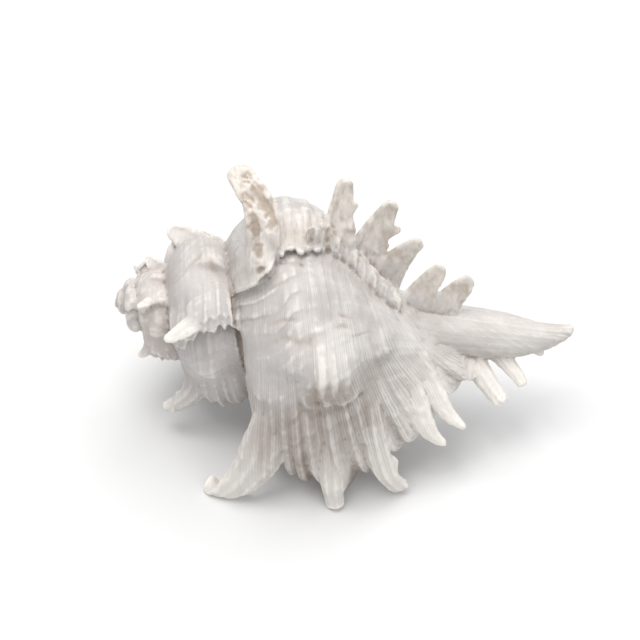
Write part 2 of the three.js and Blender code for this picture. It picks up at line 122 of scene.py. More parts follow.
# stations from root to tip: path is (along, radius, turn); half and depth are the gutter's half width and
# depth; pits and pockets are brown hollows, a pocket being (share of the way to the tip, place across from
# -1 to 1, size); fray roughens the rims, blunt squares the tip and torn makes it ragged
spines = {
    "top": [
        {"path": [(58, 40, -24), (57.6, 51, -34), (55.4, 57.5, -42), (49.6, 62, -49.5),
                  (44, 64.6, -56.5)],
         "half": (6.5, 6, 6.2, 5.6, 4.6), "depth": (4, 4, 3.8, 3.4, 3.2), "hollow": 0.3, "pits": 0.45,
         "fray": 0.3,
         "pockets": [(0.02, 0.1, 3), (0.14, -0.25, 2.8), (0.28, -0.45, 2.6), (0.42, -0.5, 3.2),
                     (0.6, -0.55, 3), (0.4, 0.5, 3), (0.54, 0.4, 3.4), (0.68, 0.35, 3.2),
                     (0.8, 0.2, 2.6)]},
        {"path": [(83, 29, -49), (84.4, 40, -51), (85.4, 49, -54), (85.8, 57, -56), (86, 63.4, -57.5)],
         "half": (9.5, 8, 5.4, 4, 3.1), "depth": (4, 4, 3.6, 3, 2.4), "hollow": 0.4, "pits": 0.5,
         "fray": 0.5},
        {"path": [(86.4, 48, -54), (89.2, 52, -54.5), (91.4, 55, -55)],
         "half": (3, 2, 1.1), "depth": (2, 1.6, 1), "hollow": 0.3, "pits": 0},
        {"path": [(103, 42, -55), (106.2, 44, -55), (108.8, 45.4, -55)],
         "half": (3, 2.2, 1.2), "depth": (2, 1.6, 1), "hollow": 0.3, "pits": 0},
        {"path": [(100, 34, -54), (103, 36.4, -54.5), (105, 37.8, -55)],
         "half": (3, 2, 1), "depth": (2, 1.6, 1), "hollow": 0.3, "pits": 0},
        {"path": [(94.5, 23, -56), (97, 34.5, -55), (100, 44, -55), (102.8, 51.6, -55),
                  (105, 56.8, -55)],
         "half": (8, 7, 5.4, 3.9, 2.7), "depth": (4, 4, 3.4, 2.8, 2.2), "hollow": 0.4, "pits": 0.5,
         "fray": 0.5},
        {"path": [(103.6, 15.5, -54), (106.6, 26.4, -53), (110.4, 34.4, -52), (114, 39.6, -51),
                  (117, 42.4, -51)],
         "half": (6.4, 6, 4.8, 3.5, 2.4), "depth": (3.6, 3.4, 3, 2.4, 1.9), "hollow": 0.4, "pits": 0.5,
         "fray": 0.5},
        {"path": [(115, 9, -38), (117.5, 15.5, -43), (121, 22.6, -48), (124.4, 28.6, -50),
                  (127, 31, -50)],
         "half": (6.6, 6, 4.9, 3.7, 2.4), "depth": (3, 2.8, 2.4, 2, 1.6), "hollow": 0.4, "pits": 0.35},
        {"path": [(125.6, 7, -40), (128.6, 13.5, -44), (132, 19.6, -47), (135.6, 25, -48),
                  (138.2, 27.6, -49)],
         "half": (7, 6.2, 5, 3.8, 2.5), "depth": (3, 2.8, 2.4, 2, 1.6), "hollow": 0.4, "pits": 0.35},
    ],
    "lip": [
        {"path": [(71, 32, 34), (69, 43, 55), (65, 55, 70), (59, 63.6, 80), (53, 68.4, 86),
                  (47.4, 68.9, 88.5), (42.8, 67.5, 89)],
         "half": (5, 8.5, 9, 7.4, 5.8, 4.4, 3.1), "depth": (3, 4.4, 5, 4.6, 4, 3.4, 2.6), "hollow": 0.2,
         "pits": 0.1, "fray": 0.35},
        {"path": [(88.5, 38, 40), (90, 50, 60), (91.6, 60, 74.5), (93.2, 67.3, 82.5), (94.5, 72, 84.7)],
         "half": (4, 5.2, 5.2, 4.2, 3.2), "depth": (2.4, 4.6, 4.8, 3.8, 3), "hollow": 0.5, "pits": 0.1,
         "blunt": 5, "torn": 0.6},
        {"path": [(101, 34, 38), (105, 45.5, 58), (110, 54, 74), (115.5, 59.6, 85), (120.2, 62.4, 89.6)],
         "half": (4, 5, 5.2, 4.6, 4.4), "depth": (2.4, 4.6, 4.6, 3.4, 2.6), "hollow": 0.5, "pits": 0.1,
         "blunt": 5, "torn": 2.6},
        {"path": [(108, 20, 23), (115.5, 26.4, 48.5), (121.5, 34.4, 63.2), (128, 41.4, 73),
                  (134.8, 44.8, 77)],
         "half": (3, 5.4, 5.4, 3.4, 1.5), "depth": (2, 2.6, 3, 2.4, 1.6), "hollow": 0.5, "pits": 0.1,
         "torn": 1.2, "fray": 1.3},
        {"path": [(110, 13, 10), (118, 18.7, 36), (126, 25.9, 58.6), (133.4, 33.6, 68.2),
                  (141, 38.8, 70)],
         "half": (3, 5.2, 5, 3.2, 1.4), "depth": (2, 2.4, 2.6, 2.2, 1.5), "hollow": 0.5, "pits": 0.1,
         "torn": 1.2, "fray": 1.3},
        {"path": [(131.5, 1, 86), (139, 7.6, 86), (145.8, 14.8, 84), (151.2, 21.4, 83), (155, 26.2, 82)],
         "half": (5.6, 5.4, 4.4, 3.7, 2.9), "depth": (4.2, 4, 3.6, 3.2, 2.8), "hollow": 0.4,
         "pits": 0.1, "blunt": 5, "torn": 1.2},
        {"path": [(144.6, 0, 85), (151.2, 5.6, 85), (156.6, 11, 84), (160.6, 15.4, 83), (163, 18.8, 82)],
         "half": (4.6, 4, 3.2, 2.7, 2.1), "depth": (3.6, 3.4, 2.8, 2.4, 2), "hollow": 0.4, "pits": 0.1},
        {"path": [(163, 0, 88), (166.5, 3.4, 88), (169.6, 6, 88)],
         "half": (3.4, 2.6, 1.4), "depth": (2.6, 2, 1.2), "hollow": 0.2, "pits": 0},
    ],
    "under": [
        {"path": [(43, 24, 212), (37, 38, 204), (33, 51, 196), (30, 64, 187), (28.4, 73.5, 181)],
         "half": (8, 6, 4.5, 3.2, 2.2), "depth": (4, 4, 3.4, 2.8, 2), "hollow": 0.7, "pits": 0.6},
        {"path": [(58, 28, 212), (58.5, 39, 205), (60, 51, 197), (61.5, 63, 187), (62.8, 71.4, 181)],
         "half": (8, 6, 4.4, 3.2, 2.2), "depth": (4, 4, 3.2, 2.6, 2), "hollow": 0.7, "pits": 0.6},
        {"path": [(70, 22, 210), (72.5, 31, 204), (76, 40, 197), (79.5, 49, 189), (82, 54.5, 184)],
         "half": (7, 5.4, 4, 3, 2), "depth": (3.6, 3.6, 3, 2.4, 1.8), "hollow": 0.7, "pits": 0.6},
        {"path": [(79, 13, 208), (82.5, 21, 203), (87, 29, 197), (91.5, 37, 190), (94.8, 41.5, 186)],
         "half": (6, 4.6, 3.6, 2.6, 1.8), "depth": (3, 3, 2.6, 2, 1.6), "hollow": 0.7, "pits": 0.6},
        {"path": [(89, 8, 206), (93.5, 14, 202), (98, 20, 196), (102.5, 26.5, 191), (106, 31, 188)],
         "half": (5, 4, 3.2, 2.3, 1.6), "depth": (2.6, 2.6, 2.2, 1.8, 1.4), "hollow": 0.7, "pits": 0.6},
    ],
    "spire": [
        {"path": [(40, 26, -8), (35.8, 30, 8), (31, 33.4, 15.5), (26.8, 35.6, 19.8), (23.4, 36.4, 21.4)],
         "half": (3.6, 4, 3.6, 2.6, 1.4), "depth": (1.4, 1.6, 1.4, 1.1, 0.8), "hollow": 0.6,
         "pits": 0.4, "fray": 1.2, "torn": 0.8},
        {"path": [(33, 21, -96), (29, 24.6, -98), (25, 27.2, -98), (21.4, 28.8, -98), (18.6, 30, -98)],
         "half": (7.5, 6.4, 5, 3.4, 2.1), "depth": (2.6, 3, 2.6, 2.2, 1.8), "hollow": 0.4, "pits": 0.3},
        {"path": [(39, 26, 88), (35, 33, 98), (30.5, 38, 104), (26.5, 40.8, 107), (23.2, 41.6, 108)],
         "half": (6, 5.2, 4.2, 3.4, 2.9), "depth": (3, 3.6, 3.2, 2.8, 2.4), "hollow": 0.5, "pits": 0.1},
        {"path": [(18, 13, -12), (15.6, 16.6, 0), (13, 18.6, 5), (11.4, 19.4, 7)],
         "half": (3, 2.4, 1.5, 0.9), "depth": (1.6, 1.7, 1.2, 0.8), "hollow": 0.5, "pits": 0.1},
        {"path": [(18, 13, 88), (15.6, 17.6, 96), (13.8, 20.4, 99), (12.6, 21.8, 100)],
         "half": (3, 2.4, 1.6, 1), "depth": (1.6, 1.7, 1.3, 0.9), "hollow": 0.5, "pits": 0.1},
        {"path": [(24, 17, 92), (23.5, 19.6, 99), (23.5, 22, 102)],
         "half": (2.2, 1.5, 0.8), "depth": (1.6, 1.4, 0.9), "hollow": 0.4, "pits": 0.1},
        {"path": [(19, 16, 92), (18.4, 18.8, 99), (18.4, 20.8, 102)],
         "half": (2, 1.3, 0.8), "depth": (1.5, 1.3, 0.8), "hollow": 0.4, "pits": 0.1},
        {"path": [(18, 13, -66), (15.6, 15.6, -70), (13.4, 17.4, -74), (11.8, 18.2, -77)],
         "half": (4.4, 3.6, 2.3, 1), "depth": (1.6, 1.5, 1.2, 0.8), "hollow": 0.5, "pits": 0.3},
        {"path": [(12, 10, -112), (9.6, 12.4, -110), (7.8, 14.2, -110), (6.6, 15, -110)],
         "half": (2.4, 1.8, 1.2, 0.7), "depth": (1.4, 1.4, 1, 0.7), "hollow": 0.5, "pits": 0.1},
    ],
}

# the hollow of the last whorl, from ahead degrees past the lip back for runs degrees, and the slit
# down the canal, its cutter open as far out as roof
hollow = {"along": 90.0, "out": 28.0, "halfLength": 26.0, "halfWidth": 16.0, "ahead": 4.0, "runs": 225.0}
slit = {"from": 106.0, "to": 186.0, "half": 1.2, "turn": 128.0, "floor": 3.2, "roof": 40.0}

# how the shell lies: canal drooped, rolled over on its spines, then shifted, in degrees and mm
lying = {"noseDown": 5.5, "rollOver": 45.0, "shift": (-90.168, 6.1, 52.9)}

# fineness of the mesh and gap above the floor in metres, triangles kept, and relief heights in mm
detail = {"voxel": 0.00058, "gap": 0.00002, "triangles": 192000, "cord": 0.3, "growthLine": 0.2,
          "swell": 0.7, "step": 0.9, "grain": 0.2, "lumps": 0.52, "seam": 1.4, "scar": 0.32,
          "kneeGroove": 1.3, "pocket": 0.9}


def catmull(points, share):
    rows = np.array(points, float)
    rows = np.vstack([2 * rows[0] - rows[1], rows, 2 * rows[-1] - rows[-2]])
    place = np.clip(np.asarray(share, float), 0, 1) * (len(rows) - 3)
    cell = np.minimum(place.astype(int), len(rows) - 4)
    t = (place - cell)[..., None]
    a, b, c, d = (rows[cell + k] for k in range(4))
    return 0.5 * (2 * b + (c - a) * t + (2 * a - 5 * b + 4 * c - d) * t**2 + (3 * b - a - 3 * c + d) * t**3)


def smoothStep(value, low, high):
    t = np.clip((value - low) / (high - low), 0, 1)
    return t * t * (3 - 2 * t)


def lattice(cells, seed):
    mixed = cells[..., 0] * 374761393 + cells[..., 1] * 668265263
    mixed = mixed + cells[..., 2] * 2147483647 + seed * 974711
    mixed = (mixed ^ (mixed >> 13)) * 1274126177
    return ((mixed ^ (mixed >> 16)) & 65535) / 32767.5 - 1


# smooth seeded noise from -1 to 1 with lumps of the given size
def cloud(points, size, seed=0):
    scaled = np.asarray(points, float) / size
    base = np.floor(scaled).astype(np.int64)
    part = scaled - base
    part = part * part * (3 - 2 * part)
    total = 0
    for corner in range(8):
        step = np.array([corner & 1, (corner >> 1) & 1, (corner >> 2) & 1])
        weight = np.prod(np.where(step, part, 1 - part), axis=-1)
        total = total + weight * lattice(base + step, seed)
    return total


def spread(*values):
    return np.stack(np.broadcast_arrays(*[np.asarray(value, float) for value in values]), axis=-1)


def around(along, radius, turn):
    angle = np.radians(turn)
    return spread(along, -radius * np.sin(angle), radius * np.cos(angle))


def lyingTurn():
    roll = Matrix.Rotation(math.radians(lying["rollOver"]), 3, "X")
    return roll @ Matrix.Rotation(math.radians(-lying["noseDown"]), 3, "Z")


def layDown(points):
    return (points @ np.array(lyingTurn()).T + np.array(lying["shift"])) / 1000


def standUp(points):
    return (points * 1000 - np.array(lying["shift"])) @ np.array(lyingTurn())


# whorls grown since the lip, below zero for everything before it
def whorlsAt(turn):
    return (turn - growth["lipTurn"]) / 360


def lean(section):
    rows = np.array(leaning, float)
    return np.interp(section, rows[:, 0], rows[:, 1])


def edgeTurn(varix, section):
    seed = varix["edge"] * 0.37
    lobes = 1.3 * np.sin(section * 0.62 + seed) + 0.8 * np.sin(section * 1.37 + seed * 2)
    lobes = lobes + 0.5 * np.sin(section * 2.6 + seed)
    if "shape" in varix:
        rows = np.array(varix["shape"], float)
        swing = np.interp(section, rows[:, 0], rows[:, 1])
        return varix["edge"] + swing + lobes * smoothStep(section, 76, 86)
    return varix["edge"] + varix["lean"] * lean(section) + lobes * (0.4 if varix["edge"] > 90 else 1)


# rows of folds and cords draw together on the knob and fan out to the lip
def rowOf(section, turn):
    drawn = smoothStep(turn, -50, -30) * (1 - smoothStep(turn, 18, 84))
    return section + drawn * 6.5 * np.clip((section - 90) / 26, -1.1, 1.4)


def foldHeight(section, turn):
    section = rowOf(section, turn)
    ridge = np.zeros_like(section)
    for row, strength in folds:
        ridge = np.maximum(ridge, strength * np.exp(-((section - row) / 2.7) ** 2))
    return ridge


def varixLift(section, turn):
    lift, near, fold = np.zeros_like(turn), np.zeros_like(turn), foldHeight(section, turn)
    for varix in varices:
        behind = edgeTurn(varix, section) - turn
        if behind.max() < -12 or behind.min() > varix["back"]:
            continue
        band, back = varix["band"], varix["back"]
        crest = varix["end"] + (1 - varix["end"]) * smoothStep(behind, 0, band)
        fall = np.cos(np.clip((behind - band) / (back - band), 0, 1) * math.pi / 2) ** 1.7
        rise = np.where(behind < 0, 0, np.where(behind < band, crest, fall))
        rise = rise * (1 + 0.3 * varix["fluted"] * (fold - 0.4))
        if "taper" in varix:
            ending = smoothStep(section, varix["taper"], varix["taper"] + 6)
            rise = rise * (1 - ending * smoothStep(-behind, -28, -8))
        ahead = np.clip(-behind / 10, 0, 1)
        dip = np.where((behind < 0) & (behind > -10), -0.1 * np.sin(ahead * math.pi), 0)
        lift = np.maximum(lift, rise * varix["height"]) + dip * varix["height"]
        near = np.maximum(near, np.where(behind >= 0, fall * varix["fluted"], 0))
    return lift, near, fold


def knobLift(along, turn):
    lift = np.zeros_like(turn)
    for knob in knobs:
        a = (along - knob["along"]) / knob["half"]
        behind = knob["turn"] - turn
        b = np.where(behind > 0, behind / knob["back"], -behind / knob["front"])
        flat = np.where(behind > 0, 0.0, 0.5)
        lift = lift + knob["height"] * np.exp(-(a**4) * 0.7 - a * a * 0.6 - b**4 * flat - b * b * 0.9)
    return lift


def whorlPoint(share, turn):
    share, turn = np.broadcast_arrays(np.asarray(share, float), np.asarray(turn, float))
    whorls = whorlsAt(turn)
    old = smoothStep(-whorls, 0.78, 1.2)[..., None]
    middle = smoothStep(-turn, -92, -72)[..., None]
    body = catmull(growth["lipSection"], share) * (1 - middle)
    body = body + catmull(growth["midSection"], share) * middle
    section = catmull(growth["spireSection"], share) * old + body * (1 - old)
    along = section[..., 0] * growth["along"] ** whorls
    lift, near, fold = varixLift(section[..., 0], turn)
    young = smoothStep(turn, 15, 75)
    lift = lift + (1.4 * near + 0.5 + 1.8 * young) * (fold - 0.4) * smoothStep(section[..., 0], 60, 66)
    radius = (section[..., 1] + smoothStep(share, 0, 0.13) * lift) * growth["out"] ** whorls
    return along, radius + knobLift(along, turn)


def closedSkin(points, first, last):
    rings, sides = points.shape[:2]
    verts = np.vstack([points.reshape(-1, 3), first, last])
    ring = np.arange(rings - 1)[:, None] * sides
    side = np.arange(sides)[None]
    after = (side + 1) % sides
    quads = np.stack([ring + side, ring + after, ring + sides + after, ring + sides + side], axis=-1)
    quads = quads.reshape(-1, 4)
    a, b = np.arange(sides), (np.arange(sides) + 1) % sides
    top = (rings - 1) * sides
    caps = np.vstack([np.stack([b, a, np.full(sides, rings * sides)], axis=-1),
                      np.stack([top + a, top + b, np.full(sides, rings * sides + 1)], axis=-1)])
    return verts, quads, caps


def addMesh(name, parts):
    verts, faces, offset = [], [], 0
    for points, quads, caps in parts:
        verts.append(points)
        faces += (quads + offset).tolist() + (caps + offset).tolist()
        offset += len(points)
    mesh = bpy.data.meshes.new(name)
    mesh.from_pydata(np.vstack(verts).tolist(), [], faces)
    mesh.update()
    piece = bpy.data.objects.new(name, mesh)
    bpy.context.scene.collection.objects.link(piece)
    return piece


def whorlPieces():
    parts = []
    end = growth["lipTurn"]
    while end > growth["apexTurn"]:
        begin = max(end - 120, growth["apexTurn"])
        size = growth["out"] ** whorlsAt(end)
        turns = np.linspace(begin, end, int(max(30, 140 * size)))[:, None]
        shares = np.linspace(0, 1, int(max(26, 150 * size)))[None]
        along, radius = whorlPoint(shares, turns)
        surface = around(along, radius, turns)
        inner = np.stack([around(along[:, side], 0.3, turns[:, 0]) for side in (-1, 0)], axis=1)
        rings = np.concatenate([surface, inner], axis=1)
        middle = shares.shape[1] // 2
        ends = [around(along[k, middle], radius[k, middle] * 0.5, turns[k, 0]) for k in (0, -1)]
        parts.append(closedSkin(rings, *ends))
        end = begin
    return parts


# the ragged rim of an old lip: a thin sheet that leaves the whorl behind the edge and stands clear in front
def frillSkin(varix, over, rise, share0=0.02, share1=0.93, seed=0, least=1.15):
    whorls = whorlsAt(varix["edge"])
    size = growth["out"] ** whorls
    count = int(max(60, 300 * size))
    shares = np.linspace(share0, share1, count)
    section = catmull(growth["spireSection"] if whorls < -1 else growth["midSection"], shares)[:, 0]
    edge = edgeTurn(varix, section)
    seed = varix["edge"] * 1.7 + over * 5 + seed
    lobes = cloud(spread(section, seed, 0), 5.5, 40) + 0.8 * cloud(spread(section, seed, 5), 2.4, 41)
    if "shape" in varix:
        lobes = lobes * smoothStep(section, 74, 84) * 0.45
    across = np.linspace(0, 1, 16)
    reach = over * (1 + 0.42 * lobes)
    turns = edge[:, None] - 9 + across[None] * (9 + reach[:, None])
    hold = np.minimum(turns, edge[:, None] - 1.5)
    along, radius = whorlPoint(np.broadcast_to(shares[:, None], hold.shape), hold)
    wave = (0.6 + 0.05 * abs(rise)) * cloud(spread(section, seed, 9), 2.6, 42)[:, None]
    wave = wave * smoothStep(across, 0.4, 1)[None]
    out = -1.4 + 1.9 * smoothStep(across, 0, 0.45)[None] + (rise + wave) * smoothStep(across, 0.35, 1)[None]
    radius = radius + out * size
    forward = np.gradient(np.radians(turns), axis=1) * radius
    steep = np.gradient(radius, axis=1)
    length = np.hypot(forward, steep)
    thick = np.maximum((1.7 - 0.5 * across[None]) * size, least)
    if "webs" in varix:
        thick = thick + 3.5 * smoothStep(section, 104, 114)[:, None]
    if rise > 2:
        uneven = 1 + 0.3 * cloud(spread(section, seed, 2), 2.4, 43)[:, None]
        thick = (2.2 + 4.0 * (1 - smoothStep(across, 0.5, 0.95)[None])) * uneven
    upper = around(along, radius, turns)
    aside = np.degrees(thick * steep / length / radius)
    lower = around(along, radius - thick * forward / length, turns + aside)
    rings = np.concatenate([upper, lower[:, ::-1]], axis=1)
    return closedSkin(rings, rings[0].mean(axis=0), rings[-1].mean(axis=0))


def frills():
    parts = []
    for varix in varices:
        if varix["frill"]:
            parts.append(frillSkin(varix, varix["frill"], 0.4, least=1.7 if "webs" in varix else 1.15))
            if varix["edge"] > -500 and "webs" not in varix:
                parts.append(frillSkin(varix, varix["frill"] * 0.45, -1.6))
            for web in varix.get("webs", []):
                parts.append(frillSkin(varix, web["over"], web["rise"], *web["from"],
                                       seed=web["rise"], least=2.6))
    return parts


def canalBar():
    share = np.linspace(0, 1, 160)
    rows = catmull(growth["canal"], share)
    angle = np.linspace(0, 2 * math.pi, 72, endpoint=False)
    lump = 1 + 0.03 * np.sin(3 * angle[None] + rows[:, :1] * 0.06)
    ring = np.stack([np.zeros_like(angle), np.sin(angle), np.cos(angle)], axis=-1)
    points = rows[:, None, :3] + ring[None] * (rows[:, 3:4] * lump)[..., None]
    return closedSkin(points, rows[0, :3], rows[-1, :3] + np.array([0.6, 0.1, 0.1]))


def spinePath(spine, share):
    return catmull([around(*station) for station in spine["path"]], share)


def spineNumbers(spine, key, share):
    return catmull([(value,) for value in spine[key]], share)[..., 0]


# a spine is a gutter, closed where it leaves the whorl, with its mouth towards the growing side
def spineSkin(spine, number):
    share = np.linspace(0, 1, 80)
    path = spinePath(spine, share)
    tangent = np.gradient(path, axis=0)
    tangent /= np.linalg.norm(tangent, axis=1, keepdims=True)
    across = np.array([1.0, 0, 0]) - tangent[:, :1] * tangent
    across /= np.linalg.norm(across, axis=1, keepdims=True)
    front = np.cross(across, tangent)
    length = np.linalg.norm(np.diff(path, axis=0), axis=1).sum()
    half, depth = spineNumbers(spine, "half", share), spineNumbers(spine, "depth", share)
    tip = 1 - (1 - share) * length / (half[-1] * 1.2)
    ending = np.sqrt(np.clip(1 - np.clip(tip, 0, 1) ** spine.get("blunt", 2.2), 0.03, 1))
    half, depth = (half * ending)[:, None], (depth * ending)[:, None]
    ending = ending[:, None]
    size = spine["half"][-1] / 3
    wall = 0.3 * half + 0.5 * ending
    arc = np.linspace(-1, 1, 40)[None]
    bend = arc * math.radians(100)
    run = share[:, None] * length
    spot = spread(run / size, arc * half * 1.6 / size, number * 17.3)
    streak = spread(run * 0.28, arc * half * 1.7, number * 7.1)
    ribs = 0.3 * size * np.cos(arc * 14 + number) * (1 - np.abs(arc) ** 3) * ending
    rim = spine.get("fray", 0.8) * np.abs(arc) ** 4 * (1.6 * cloud(spot, 4.2, 3) + cloud(spot, 1.9, 4))
    rim = rim * size * ending
    pit = 0.7 * cloud(spot, 4.4, 21) + 0.5 * cloud(spot, 2.2, 22) + 0.8 * cloud(streak, 2.2, 23)
    pit = np.clip(pit * 1.5, -1.1, 0.6) * spine["pits"] * (1 - arc**4)
    pit = pit * smoothStep(share, 0.02, 0.25)[:, None]
    closed = 1 - spine["hollow"] * (smoothStep(share, 0.0, 0.25) - smoothStep(share, 0.82, 1))[:, None]
    back = -depth * np.cos(bend) - ribs + rim * 0.5
    mouth = -(depth - wall) * np.cos(bend) * (1 - closed) + closed * depth * (0.3 + 0.25 * np.cos(bend))
    mouth = mouth + pit * size * ending + rim
    flare = 1 + 0.12 * rim
    lateral = [half * np.sin(bend) * flare, ((half - wall) * np.sin(bend) * flare)[:, ::-1]]
    lateral = np.concatenate(lateral, axis=1)
    forward = np.concatenate([back, np.maximum(mouth, back + 0.5 * ending)[:, ::-1]], axis=1)
    points = path[:, None] + across[:, None] * lateral[..., None] + front[:, None] * forward[..., None]
    place = np.concatenate([arc, arc[:, ::-1]], axis=1) * half[-6] * 1.5
    torn = spine.get("torn", 0) * cloud(spread(place, number * 3.1, 0), 1.5, 44)
    points = points + tangent[:, None] * (torn * smoothStep(share, 0.72, 0.97)[:, None])[..., None]
    return closedSkin(points, points[0].mean(axis=0), points[-1].mean(axis=0))


def hollowSkin():
    share = np.linspace(0, 1, 120)[:, None]
    turn = growth["lipTurn"] + hollow["ahead"] - hollow["runs"] * share
    whorls = whorlsAt(turn)
    angle = np.linspace(0, 2 * math.pi, 90, endpoint=False)[None]
    close = 1 - 0.45 * smoothStep(share, 0.6, 1)
    flare = 1 + 0.05 * np.clip(1 - share / 0.05, 0, 1)
    along = hollow["along"] + hollow["halfLength"] * close * flare * np.cos(angle)
    out = hollow["out"] + hollow["halfWidth"] * close * flare * (1 - 0.22 * np.cos(angle)) * np.sin(angle)
    points = around(along * growth["along"] ** whorls, out * growth["out"] ** whorls, turn)
    middle = around(hollow["along"] * growth["along"] ** whorls,
                    hollow["out"] * growth["out"] ** whorls, turn)
    return closedSkin(points, middle[0, 0], middle[-1, 0])


def slitSkin():
    along = np.linspace(slit["from"], slit["to"], 60)
    rise = 6 * smoothStep(along, 150, 182)
    low = slit["floor"] - rise - 1.2
    roof = np.full_like(along, slit["roof"])
    wave = 0.5 * np.sin(along * 0.35)
    corners = []
    for out, wide in ((low, -1), (roof, -1.7), (roof, 1.7), (low, 1)):
        aside = around(0, wide * slit["half"] + wave, slit["turn"] + 90)
        corners.append(around(along, out, slit["turn"]) + aside)
    points = np.stack(corners, axis=1)
    return closedSkin(points, points[0].mean(axis=0), points[-1].mean(axis=0))


def applyModifiers(piece):
    graph = bpy.context.evaluated_depsgraph_get()
    made = bpy.data.meshes.new_from_object(piece.evaluated_get(graph), depsgraph=graph)
    piece.modifiers.clear()
    old = piece.data
    piece.data = made
    bpy.data.meshes.remove(old)


def readPoints(mesh):
    flat = np.empty(len(mesh.vertices) * 3, np.float32)
    mesh.vertices.foreach_get("co", flat)
    return flat.reshape(-1, 3).astype(float)


def readNormals(mesh):
    flat = np.empty(len(mesh.vertices) * 3, np.float32)
    mesh.vertices.foreach_get("normal", flat)
    return flat.reshape(-1, 3).astype(float)


def writePoints(mesh, points):
    mesh.vertices.foreach_set("co", points.astype(np.float32).ravel())
    mesh.update()


# for each point: the turn of the whorl it lies on and its distance along that whorl's section
def shellPlace(points):
    own = standUp(points)
    along, radius = own[:, 0], np.hypot(own[:, 1], own[:, 2])
    angle = np.degrees(np.arctan2(-own[:, 1], own[:, 2]))
    turn = np.where(angle > growth["lipTurn"], angle - 360, angle)
    for _ in range(4):
        suture = growth["suture"] * growth["along"] ** whorlsAt(turn)
        turn = np.where(along < suture, turn - 360, turn)
    section = along / growth["along"] ** whorlsAt(turn)
    return own, along, radius, angle, turn, section


# which points lie near a spine's path
def nearPath(own, path, reach):
    return np.all((own > path.min(axis=0) - reach) & (own < path.max(axis=0) + reach), axis=1)


def spineMask(own, groups=("top", "lip", "under", "spire")):
    mask = np.zeros(len(own))
    share = np.linspace(0.1, 1, 30)
    for group in groups:
        for spine in spines[group]:
            path = spinePath(spine, share)
            half, depth = spineNumbers(spine, "half", share), spineNumbers(spine, "depth", share)
            near = nearPath(own, path, half.max() + 4)
            picked = own[near]
            if not len(picked):
                continue
            gaps = np.linalg.norm(picked[:, None] - path[None], axis=2)
            gaps = gaps / (half[None] * 1.1 + depth[None] * 0.35)
            best = gaps.argmin(axis=1)
            value = 1 - smoothStep(gaps[np.arange(len(picked)), best], 0.8, 1.35)
            value = value * smoothStep(share[best], 0.15, 0.6)
            mask[near] = np.maximum(mask[near], value)
    return mask


def hollowMask(along, radius, angle):
    inside = np.zeros(len(along))
    for wrap in (0, -360):
        turn = angle + wrap
        whorls = whorlsAt(turn)
        share = (growth["lipTurn"] + hollow["ahead"] - turn) / hollow["runs"]
        a = (along / growth["along"] ** whorls - hollow["along"]) / hollow["halfLength"]
        b = (radius / growth["out"] ** whorls - hollow["out"]) / hollow["halfWidth"]
        size = np.hypot(a, b / (1 - 0.22 * np.clip(a, -1, 1)))
        inside = np.maximum(inside, (1 - smoothStep(size, 1.04, 1.12)) * (share > -0.005) * (share < 1.02))
    return inside


def scarMask(along, angle):
    mask = np.zeros(len(along))
    for place, turned, length, width, slope in scars:
        a = (along - place) / length
        bend = 0.7 * np.sin(along * 0.45 + place) + 0.3 * cloud(spread(along, angle, place), 4, 66)
        bend = bend * width
        b = (angle - turned - slope * (along - place) - bend) / width
        mask = np.maximum(mask, np.exp(-a * a - b * b))
    return mask


# brown pockets eaten into the growing side of the old lip's spines
def pocketMask(own, facing, angle):
    mask, holes = np.zeros(len(own)), np.zeros(len(own))
    share = np.linspace(0.05, 1, 30)
    for spine in spines["top"]:
        path = spinePath(spine, share)
        half = spineNumbers(spine, "half", share)
        near = nearPath(own, path, half.max() + 5)
        picked = own[near]
        gaps = np.linalg.norm(picked[:, None] - path[None], axis=2) / half[None]
        best = gaps.argmin(axis=1)
        value = (1 - smoothStep(gaps[np.arange(len(picked)), best], 1.0, 1.5)) * spine["pits"]
        value = value * smoothStep(share[best], 0.1, 0.35)
        mask[near] = np.maximum(mask[near], value * (1 - smoothStep(share[best], 0.8, 0.97)))
        for place, across, wide in spine.get("pockets", []):
            middle = spinePath(spine, np.array([place]))[0]
            step = spinePath(spine, np.array([place + 0.02]))[0] - middle
            step /= np.linalg.norm(step)
            aside = np.array([1.0, 0, 0]) - step[0] * step
            aside /= np.linalg.norm(aside)
            middle = middle + aside * across * spineNumbers(spine, "half", np.array([place]))[0]
            away = picked - middle
            lone = np.hypot((away @ step) / (wide * 1.35), (away @ aside) / (wide * 0.85))
            bent = lone + 0.55 * cloud(picked, 2.6, 64) + 0.25 * cloud(picked, 1.2, 65)
            holes[near] = np.maximum(holes[near], 1 - smoothStep(bent, 0.5, 1.25))
    turned = np.radians(angle)
    ahead = facing[:, 1] * -np.cos(turned) + facing[:, 2] * -np.sin(turned)
    cells = cloud(own * (1, 0.6, 0.6), 3.3, 61) + 0.25 * cloud(own, 1.6, 62)
    return smoothStep(ahead, 0.0, 0.5) * np.maximum(mask * smoothStep(cells, -0.12, 0.5), holes)


# the worn face of the big knob, and the grooves that run down it
def kneeMask(along, angle):
    face = np.exp(-((along - 88) / 8.0) ** 4 - ((angle - 29.5) / 5.0) ** 4) * (along > knobSide)
    return face, 0.5 - 0.5 * np.cos((along - 84.5) * 1.3)


